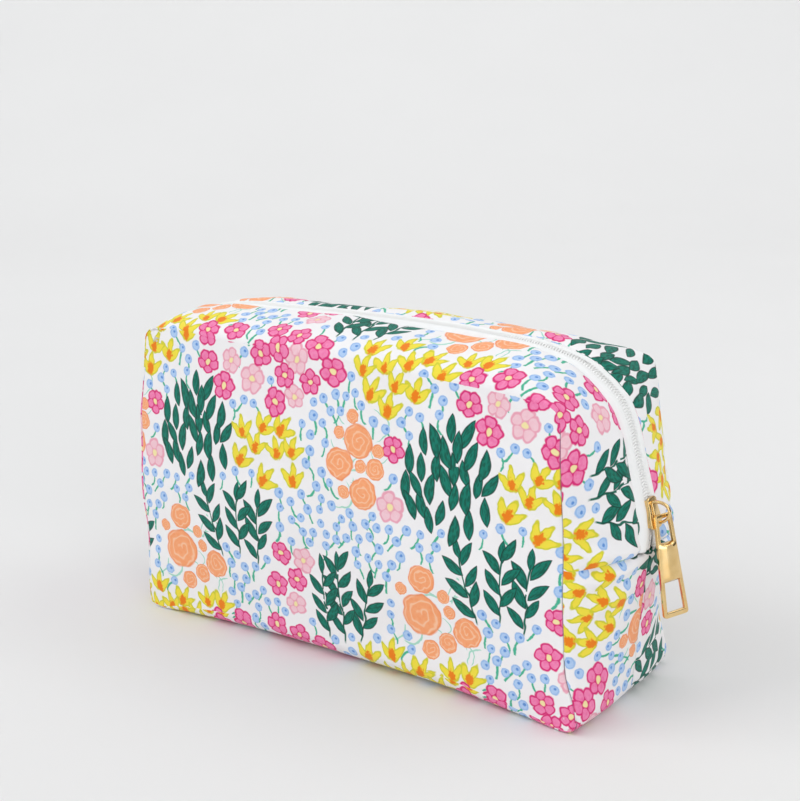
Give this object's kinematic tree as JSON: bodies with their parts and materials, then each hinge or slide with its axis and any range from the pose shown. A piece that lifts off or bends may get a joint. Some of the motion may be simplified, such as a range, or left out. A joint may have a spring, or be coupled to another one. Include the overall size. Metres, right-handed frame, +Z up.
{
  "type": "makeup bag",
  "caption": "Boxy soft zip-up makeup bag with boxed corners, a coil zipper over the top and down both ends, and a long open-work pull.",
  "frame": {"origin": "centre of the base, on the surface that the bag stands on", "axes": "+Z up, +X towards the end where the slider rests, -Y towards the front face"},
  "size_m": [0.2679, 0.084, 0.1484],
  "materials": {
    "outer": "matt printed cotton canvas, small flowers on white",
    "interlining": "matt fleece",
    "lining": "plain matt polyester lining",
    "tape": "woven twill tape",
    "coil": "semi-matt nylon",
    "gold": "polished light gold plating"
  },
  "bodies": {
    "tub": {"outer_front_lower": "outer", "outer_back_lower": "outer", "interlining_front_lower": "interlining", "interlining_back_lower": "interlining", "lining_front_lower": "lining", "lining_back_lower": "lining"},
    "front_flap": {"outer_front_upper": "outer", "interlining_front_upper": "interlining", "lining_front_upper": "lining", "zipper_tape_front": "tape", "zipper_coil_front": "coil"},
    "back_flap": {"outer_back_upper": "outer", "interlining_back_upper": "interlining", "lining_back_upper": "lining", "zipper_tape_back": "tape", "zipper_coil_back": "coil"},
    "slider": {"slider_body": "gold", "slider_bail": "gold"},
    "pull": {"zipper_pull": "gold"}
  },
  "joints": [
    {"name": "front_mouth", "type": "hinge", "parent": "tub", "child": "front_flap", "pos_m": [0, -0.042, 0.067], "axis": [1, 0, 0], "range_deg": [0, 20], "deforming": ["zipper_tape_front", "zipper_coil_front"]},
    {"name": "back_mouth", "type": "hinge", "parent": "tub", "child": "back_flap", "pos_m": [0, 0.042, 0.067], "axis": [-1, 0, 0], "range_deg": [0, 20], "deforming": ["zipper_tape_back", "zipper_coil_back"]},
    {"name": "slider_travel", "type": "slide", "parent": "tub", "child": "slider", "axis": [-0.2722, 0, 0.9622], "range_m": [0, 0.024]},
    {"name": "pull_swing", "type": "hinge", "parent": "slider", "child": "pull", "pos_m": [0.12975, 0, 0.08241], "axis": [0, -1, 0], "range_deg": [0, 140]}
  ]
}
